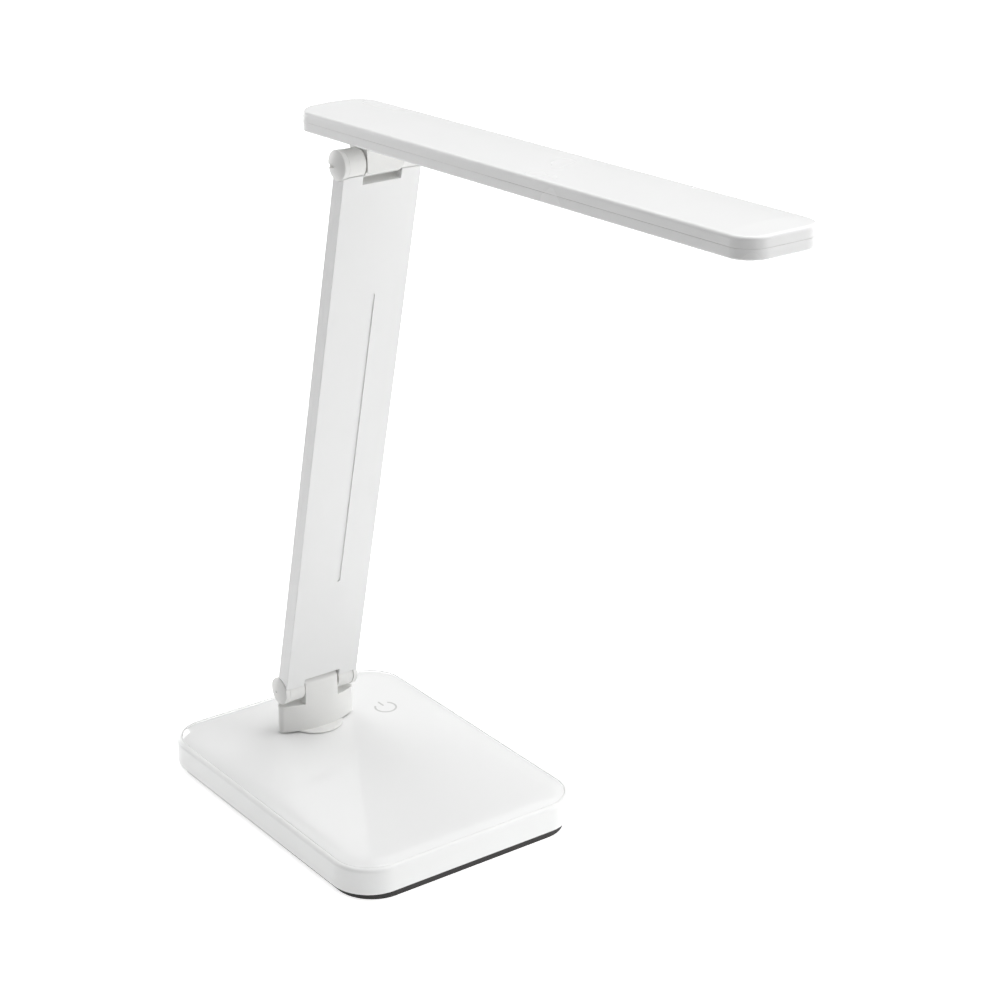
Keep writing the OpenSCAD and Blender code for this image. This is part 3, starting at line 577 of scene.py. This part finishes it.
cap = {"inner": 17.0 * mm, "rim": 2.2 * mm, "radius": 6.3 * mm, "dome": 1.5 * mm, "rings": 9,
       "edge": 0.2 * mm, "seam": 0.12 * mm, "slotHalf": 0.75 * mm, "slotDeep": 0.7 * mm,
       "slotTurn": -23, "slotFrom": -0.3 * mm, "spigot": 1.2 * mm, "spigotRadius": 4.6 * mm,
       "lap": 0.5 * mm, "pole": 0.15 * mm, "dimple": 0.45 * mm, "dimpleDeep": 0.5 * mm}


def makeCap(name, size, where, side, mark, node):
    # a turned cap whose face bulges in a shallow dome, on the side that side names
    rimEnd = size["inner"] + size["rim"]
    body = addRod(name, (size["inner"] * side, 0, 0), (rimEnd * side, 0, 0), size["radius"], 128)
    sphere = (size["radius"] ** 2 + size["dome"] ** 2) / (2 * size["dome"])
    radii = [size["radius"] * (1 - k / size["rings"]) for k in range(size["rings"])]
    radii.append(size["pole"])
    heights = [math.sqrt(sphere ** 2 - r ** 2) - (sphere - size["dome"]) for r in radii]
    steps = [(a - b, high - low) for a, b, low, high in zip(radii, radii[1:], heights, heights[1:])]
    stepFace(body, lambda at, normal: normal.x * side > 0.9, steps)
    bevelEdges(body, lambda a, b: near(abs(a.x), rimEnd) and near(abs(b.x), rimEnd)
               and min(a.yz.length, b.yz.length) > size["radius"] - onWall, size["edge"], 3)
    bevelEdges(body, lambda a, b: near(abs(a.x), size["inner"]) and near(abs(b.x), size["inner"]),
               size["seam"], 3)
    spigot = addRod("spigot", ((size["inner"] - size["spigot"]) * side, 0, 0),
                    ((size["inner"] + size["lap"]) * side, 0, 0), size["spigotRadius"])
    combine(body, spigot, "UNION")
    apex = rimEnd + size["dome"]
    if mark == "slot":
        ends = sorted(((apex - size["dome"] - size["slotDeep"]) * side, (apex + mm) * side))
        slot = addBlock("cut", (ends[0], size["slotFrom"], -size["slotHalf"]),
                        (ends[1], size["radius"] + mm, size["slotHalf"]))
        placeIn(slot, Matrix.Rotation(math.radians(size["slotTurn"]), 4, "X"))
        combine(body, slot)
    if mark == "dimple":
        hole = addRod("cut", ((apex - size["dimpleDeep"]) * side, 0, 0),
                      ((apex + mm) * side, 0, 0), size["dimple"], 32)
        combine(body, hole)
    tidyMesh(body, 30)
    placeIn(body, where)
    finishPiece(body, "arm", "hinge_white", node)


arm = {"half": 18.9 * mm, "front": -5.26 * mm, "back": 2.0 * mm, "seam": -1.63 * mm,
       "wall": 1.5 * mm, "barrelRoom": 6.25 * mm, "barrelHalf": 30 * mm, "capRoom": 6.42 * mm,
       "capFrom": 16.9 * mm, "capTo": 31 * mm, "notchHalf": 9.25 * mm, "notchPast": 5 * mm,
       "lowerNotch": 6.7 * mm, "upperNotch": 7.67 * mm, "soft": 0.3 * mm, "seamSoft": 0.14 * mm}
groove = {"x": 2.3 * mm, "width": 2.25 * mm, "low": 57.4 * mm, "length": 145 * mm,
          "deep": 0.5 * mm, "endRound": 0.495}


def armBlank(name, size, front, back, cavityFront, cavityBack):
    blank = addBlock(name, (-size["half"], front, 0), (size["half"], back, armLength))
    inner = size["half"] - size["wall"]
    room = addBlock("cut", (-inner, cavityFront, -mm), (inner, cavityBack, armLength + mm))
    combine(blank, room)
    for at in (0, armLength):
        roller = addRod("cut", (-size["barrelHalf"], 0, at), (size["barrelHalf"], 0, at),
                        size["barrelRoom"], 192)
        combine(blank, roller)
        for start, end in ((-size["capTo"], -size["capFrom"]), (size["capFrom"], size["capTo"])):
            roller = addRod("cut", (start, 0, at), (end, 0, at), size["capRoom"], 192)
            combine(blank, roller)
    for low, high in ((-size["notchPast"], size["lowerNotch"]),
                      (armLength - size["upperNotch"], armLength + size["notchPast"])):
        notch = addBlock("cut", (-size["notchHalf"], -pastAll, low),
                         (size["notchHalf"], pastAll, high))
        combine(blank, notch)
    return blank


def alongSides(size, depth):
    # the two edges that run the whole length of a panel, on its face at this depth
    return lambda a, b: (near(a.y, depth) and near(b.y, depth)
                         and near(abs(a.x), size["half"]) and near(a.x, b.x))


def makeArmFront(size, slot):
    cover = armBlank("arm_front_panel", size, size["front"], size["seam"],
                     size["front"] + size["wall"], size["seam"] + mm)
    bevelEdges(cover, lambda a, b: near(a.y, size["front"]) and near(b.y, size["front"]),
               size["soft"], 4)
    bevelEdges(cover, alongSides(size, size["seam"]), size["seamSoft"], 2)
    trench = addBlock("cut", (slot["x"] - slot["width"] / 2, -pastAll, slot["low"]),
                      (slot["x"] + slot["width"] / 2, size["front"] + slot["deep"],
                       slot["low"] + slot["length"]))
    bevelEdges(trench, lambda a, b: near(a.x, b.x) and near(a.z, b.z),
               slot["width"] * slot["endRound"], 12)
    combine(cover, trench)
    tidyMesh(cover, 15)
    placeIn(cover, lowerFrame)
    finishPiece(cover, "arm", "arm_white", "arm_front_cover")


def makeArmBack(size):
    shell = armBlank("arm_back_panel", size, size["seam"], size["back"],
                     size["seam"] - mm, size["back"] - size["wall"])
    bevelEdges(shell, alongSides(size, size["back"]), size["soft"], 4)
    bevelEdges(shell, alongSides(size, size["seam"]), size["seamSoft"], 2)
    tidyMesh(shell, 15)
    placeIn(shell, lowerFrame)
    finishPiece(shell, "arm", "arm_white", "arm_rear_shell")


makeFork("fork_foot", fork, lowerFrame, 1, arm["lowerNotch"], "lower_fork")
makeFork("fork_top", fork, upperFrame, -1, arm["upperNotch"], "upper_fork")
makeCap("cap_lower_left", cap, lowerFrame, -1, "dimple", "lower_cap_left")
makeCap("cap_lower_right", cap, lowerFrame, 1, "", "lower_cap_right")
makeCap("cap_upper_left", cap, upperFrame, -1, "slot", "upper_cap_left")
makeCap("cap_upper_right", cap, upperFrame, 1, "", "upper_cap_right")
makeArmFront(arm, groove)
makeArmBack(arm)
print("arm built")


# head, built level about the upper hinge axis and then tilted
head = {"half": 18.0 * mm, "back": 32.5 * mm, "front": -239.4 * mm, "corner": 9.5 * mm,
        "under": 9.2 * mm, "part": 13.3 * mm, "sideTop": 17.4 * mm, "wall": 1.6 * mm,
        "edge": 1.4 * mm, "crown": 0.8 * mm, "ramp": 14 * mm, "rings": 8, "cornerLeft": 0.3 * mm,
        "crownRows": 7, "crownRow": 1.1 * mm, "tipRows": 6, "midRows": 20, "underEdge": 1.0 * mm,
        "seam": 0.17 * mm, "floor": 1.8 * mm, "mouth": (8.75 * mm, 6.35 * mm)}
window = {"half": 12.0 * mm, "front": -232.4 * mm, "back": -22 * mm, "lip": 1.0 * mm,
          "corner": 2 * mm, "low": 9.9 * mm, "thick": 1.4 * mm, "slip": 0.15 * mm,
          "soft": 0.15 * mm}
headScrews = {"side": 14.2 * mm, "radius": 1.65 * mm,
              "along": (20.5 * mm, -16 * mm, -127.2 * mm, -226.4 * mm)}


def headRows(size):
    # close together where the tip sinks and beside both corners, wide apart along the middle
    tip = [size["front"] + size["ramp"] * k / size["tipRows"]
           for k in range(1, size["tipRows"] + 1)]
    first, last = size["front"] + size["ramp"], size["back"] - size["corner"]
    rows = [first + (last - first) * k / size["midRows"] for k in range(1, size["midRows"])]
    return tip + rows + [last - mm, size["back"] - size["corner"] / 3]


def onOutline(point, size):
    # true for points on the head's outer wall
    halfLength = (size["back"] - size["front"]) / 2
    aside, along = abs(point.x), abs(point.y - (size["front"] + size["back"]) / 2)
    corner = Vector((aside - (size["half"] - size["corner"]),
                     along - (halfLength - size["corner"])))
    onCorner = corner.x > 0 and corner.y > 0 and corner.length > size["corner"] - onWall
    return aside > size["half"] - onWall or along > halfLength - onWall or onCorner


def makeHeadTop(size):
    edgeLow = size["sideTop"] - size["edge"]
    shell = addBlock("head_top_cover", (-size["half"], size["front"], size["part"]),
                     (size["half"], size["back"], edgeLow))
    bevelUprights(shell, size["corner"], 20)
    run = size["corner"] - size["edge"] - size["cornerLeft"]
    steps = quarterSteps(size["edge"], 7) + [(run / size["rings"], 0)] * size["rings"]
    stepFace(shell, lambda at, normal: normal.z > 0.9, steps)
    sliceAcross(shell, Vector((1, 0, 0)), [k * size["crownRow"] for k in
                                           range(-size["crownRows"], size["crownRows"] + 1)])
    sliceAcross(shell, Vector((0, 1, 0)), headRows(size))
    # the crown arches across the width as far as both ends, and sinks a little at the tip
    for vertex in shell.data.vertices:
        share = max(0, (vertex.co.z - edgeLow) / size["edge"])
        share *= min(1, (vertex.co.y - size["front"]) / size["ramp"])
        vertex.co.z += share * size["crown"] * (1 - (vertex.co.x / size["half"]) ** 2)
    stepFace(shell, lambda at, normal: normal.z < -0.9,
             [(size["seam"], 0), (size["wall"] - size["seam"], 0)])
    innerHalf = size["half"] - size["wall"]
    editFaces(shell, lambda at, normal: normal.z < -0.9 and abs(at.x) < innerHalf
              and abs(at.y - (size["front"] + size["back"]) / 2) < mm)
    bpy.ops.mesh.extrude_region_move(
        TRANSFORM_OT_translate={"value": (0, 0, size["sideTop"] - size["wall"] - size["part"])})
    leaveEdit()
    bevelEdges(shell, lambda a, b: near(a.z, size["part"]) and near(b.z, size["part"])
               and onOutline(a, size) and onOutline(b, size), size["seam"], 2)
    tidyMesh(shell)
    placeIn(shell, headFrame)
    finishPiece(shell, "head", "head_white", "head_top_shell")


def makeHeadBottom(size, light, screws):
    frameBody = addBlock("head_under_frame", (-size["half"], size["front"], size["under"]),
                         (size["half"], size["back"], size["part"]))
    bevelUprights(frameBody, size["corner"], 20)
    bevelEdges(frameBody, onLevel(size["under"]), size["underEdge"], 5)
    bevelEdges(frameBody, onLevel(size["part"]), size["seam"], 2)
    inner = size["half"] - size["wall"]
    room = addBlock("cut", (-inner, size["front"] + size["wall"], size["under"] + size["floor"]),
                    (inner, size["back"] - size["wall"], pastAll))
    bevelUprights(room, size["corner"] - size["wall"], 12)
    combine(frameBody, room)
    opening = addBlock("cut", (-light["half"] + light["lip"], light["front"] + light["lip"], 0),
                       (light["half"] - light["lip"], light["back"] - light["lip"], pastAll))
    bevelUprights(opening, light["corner"], 8)
    combine(frameBody, opening)
    seat = addBlock("cut", (-light["half"], light["front"], light["low"]),
                    (light["half"], light["back"], pastAll))
    combine(frameBody, seat)
    wide, deep = size["mouth"]
    combine(frameBody, addBlock("cut", (-wide, -deep, 0), (wide, deep, pastAll)))
    for x in (-screws["side"], screws["side"]):
        for y in screws["along"]:
            combine(frameBody, addRod("cut", (x, y, 0), (x, y, pastAll), screws["radius"], 32))
    sliceAcross(frameBody, Vector((0, 1, 0)), headRows(size))
    tidyMesh(frameBody)
    placeIn(frameBody, headFrame)
    finishPiece(frameBody, "head", "head_white", "head_bottom_frame")


def makeDiffuser(light):
    half, low = light["half"] - light["slip"], light["low"]
    sheet = addBlock("head_diffuser", (-half, light["front"] + light["slip"], low),
                     (half, light["back"] - light["slip"], low + light["thick"]))
    softenEdges(sheet, light["soft"], 2)
    tidyMesh(sheet)
    placeIn(sheet, headFrame)
    finishPiece(sheet, "head", "diffuser_white", "diffuser")


tongue = {"half": 8.6 * mm, "radius": 6.2 * mm, "toe": 3.6 * mm, "top": 11 * mm, "soft": 0.3 * mm,
          "bush": 4.05 * mm, "flange": (13 * mm, 13.5 * mm, 2 * mm)}


def makeTongue(size):
    body = addBlock("head_hinge_tongue", (-size["half"], -size["radius"], 0),
                    (size["half"], size["radius"], size["top"]))
    toe = addBlock("toe", (-size["half"], -size["radius"], -size["toe"]), (size["half"], 0, mm))
    combine(body, toe, "UNION")
    roller = addRod("roller", (-size["half"], 0, 0), (size["half"], 0, 0), size["radius"], 128)
    combine(body, roller, "UNION")
    drillAcross(body, 0, 0, size["bush"], 96)
    wide, deep, thick = size["flange"]
    flange = addBlock("flange", (-wide, -deep, size["top"]), (wide, deep, size["top"] + thick))
    combine(body, flange, "UNION")
    tidyMesh(body)
    softenEdges(body, size["soft"], 3)
    tidyMesh(body)
    placeIn(body, headFrame)
    finishPiece(body, "head", "hinge_white", "head_tongue")


makeHeadTop(head)
makeHeadBottom(head, window, headScrews)
makeDiffuser(window)
makeTongue(tongue)
print("head built")


# floor, light and camera
studio = {"floorSize": 6.0, "paper": 0.9, "floorSeen": (0.7, 1.0), "floorFade": (0.45, 1.3),
          "floorShine": 0.94, "floorLit": (0.28, 0.0), "litFade": (0.1, 0.34),
          "backdropShine": 0.3, "lampFrom": 1.5, "aim": (0, -60 * mm, 120 * mm)}
# turn from the camera towards the right, rise, power, width and height
lamps = {"overhead": (0, 88, 13.4, 1.5, 1.5), "right_high": (100, 62, 11.0, 1.4, 1.0),
         "right_low": (100, 10, 9.6, 1.4, 0.6), "front_right_low": (45, 10, 3.6, 1.2, 0.6),
         "back_left_low": (-130, 10, 9.8, 1.6, 0.6), "back_high": (180, 62, 6.3, 1.6, 1.2),
         "left_low": (-75, 10, 1.3, 1.2, 0.6)}


def seenBy(tree, factors):
    # a strength that differs for each kind of ray; each factor is a number or another node's output
    path = tree.nodes.new("ShaderNodeLightPath")
    total = None
    for kind, factor in factors.items():
        share = tree.nodes.new("ShaderNodeMath")
        share.operation = "MULTIPLY_ADD"
        share.inputs[2].default_value = 0.0
        tree.links.new(path.outputs[kind], share.inputs[0])
        if isinstance(factor, float):
            share.inputs[1].default_value = factor
        else:
            tree.links.new(factor, share.inputs[1])
        if total:
            tree.links.new(total, share.inputs[2])
        total = share.outputs[0]
    return total


def fadeOut(tree, reach, strengths):
    # a strength that changes with the distance from the lamp's foot
    place = tree.nodes.new("ShaderNodeTexCoord")
    away = tree.nodes.new("ShaderNodeVectorMath")
    away.operation = "LENGTH"
    fade = tree.nodes.new("ShaderNodeMapRange")
    fade.inputs["From Min"].default_value, fade.inputs["From Max"].default_value = reach
    fade.inputs["To Min"].default_value, fade.inputs["To Max"].default_value = strengths
    tree.links.new(place.outputs["Object"], away.inputs[0])
    tree.links.new(away.outputs["Value"], fade.inputs["Value"])
    return fade.outputs["Result"]


def makeFloor(size):
    bpy.ops.object.select_all(action="DESELECT")
    bpy.ops.mesh.primitive_plane_add(size=size["floorSize"], location=(0, 0, 0))
    floor = bpy.context.object
    floor.name = "studio_floor"
    finish, tree, shader = newFinish("white_paper", [size["paper"]] * 3, 0.9)
    shader.inputs["Specular IOR Level"].default_value = 0.0
    glow = tree.nodes.new("ShaderNodeEmission")
    both = tree.nodes.new("ShaderNodeAddShader")
    # the paper whitens with distance, so that only the lamp's own shadow is left,
    # and lights the base's walls
    strength = seenBy(tree, {"Is Camera Ray": fadeOut(tree, size["floorFade"], size["floorSeen"]),
                             "Is Diffuse Ray": fadeOut(tree, size["litFade"], size["floorLit"]),
                             "Is Glossy Ray": size["floorShine"]})
    tree.links.new(strength, glow.inputs["Strength"])
    tree.links.new(shader.outputs["BSDF"], both.inputs[0])
    tree.links.new(glow.outputs["Emission"], both.inputs[1])
    tree.links.new(both.outputs["Shader"], tree.nodes["Material Output"].inputs["Surface"])
    floor.data.materials.append(finish)


def makeWorld(size):
    world = bpy.data.worlds.new("studio_white")
    bpy.context.scene.world = world
    world.use_nodes = True
    tree = world.node_tree
    background = tree.nodes["Background"]
    background.inputs["Color"].default_value = (1, 1, 1, 1)
    strength = seenBy(tree, {"Is Camera Ray": 1.0, "Is Transmission Ray": 1.0,
                             "Is Glossy Ray": size["backdropShine"]})
    tree.links.new(strength, background.inputs["Strength"])


def addLamp(name, look, size):
    azimuth, rise, power, width, height = look
    data = bpy.data.lights.new(name, "AREA")
    data.shape = "RECTANGLE"
    data.size, data.size_y = width, height
    data.energy = power
    turn, lift = math.radians(view["azimuth"] + azimuth), math.radians(rise)
    away = Vector((math.sin(turn) * math.cos(lift), -math.cos(turn) * math.cos(lift),
                   math.sin(lift)))
    lamp = bpy.data.objects.new(name, data)
    bpy.context.scene.collection.objects.link(lamp)
    lamp.location = Vector(size["aim"]) + away * size["lampFrom"]
    lamp.rotation_euler = away.to_track_quat("Z", "Y").to_euler()


view = {"azimuth": -37.03, "elevation": 22.716, "roll": 0.577,
        "target": (34.834 * mm, -48.661 * mm, 150 * mm), "distance": 1033.865 * mm,
        "focal": 2468.8, "sensor": 36.0, "picture": 1000, "clip": (0.05, 50)}


def makeCamera(size):
    turn, rise, roll = (math.radians(size[key]) for key in ("azimuth", "elevation", "roll"))
    back = Vector((math.sin(turn) * math.cos(rise), -math.cos(turn) * math.cos(rise),
                   math.sin(rise)))
    level = Vector((math.cos(turn), math.sin(turn), 0))
    plumb = back.cross(level)
    right = level * math.cos(roll) + plumb * math.sin(roll)
    up = plumb * math.cos(roll) - level * math.sin(roll)
    data = bpy.data.cameras.new("photo_view")
    data.sensor_width = size["sensor"]
    data.lens = size["sensor"] * size["focal"] / size["picture"]
    data.clip_start, data.clip_end = size["clip"]
    camera = bpy.data.objects.new("photo_view", data)
    bpy.context.scene.collection.objects.link(camera)
    turned = Matrix((right, up, back)).transposed().to_4x4()
    place = Matrix.Translation(Vector(size["target"]) + back * size["distance"])
    camera.matrix_world = place @ turned
    bpy.context.scene.camera = camera


makeFloor(studio)
makeWorld(studio)
makeCamera(view)
for lampName, lampLook in lamps.items():
    addLamp(lampName, lampLook, studio)
bpy.context.scene.view_settings.view_transform = "Standard"
print("studio set")
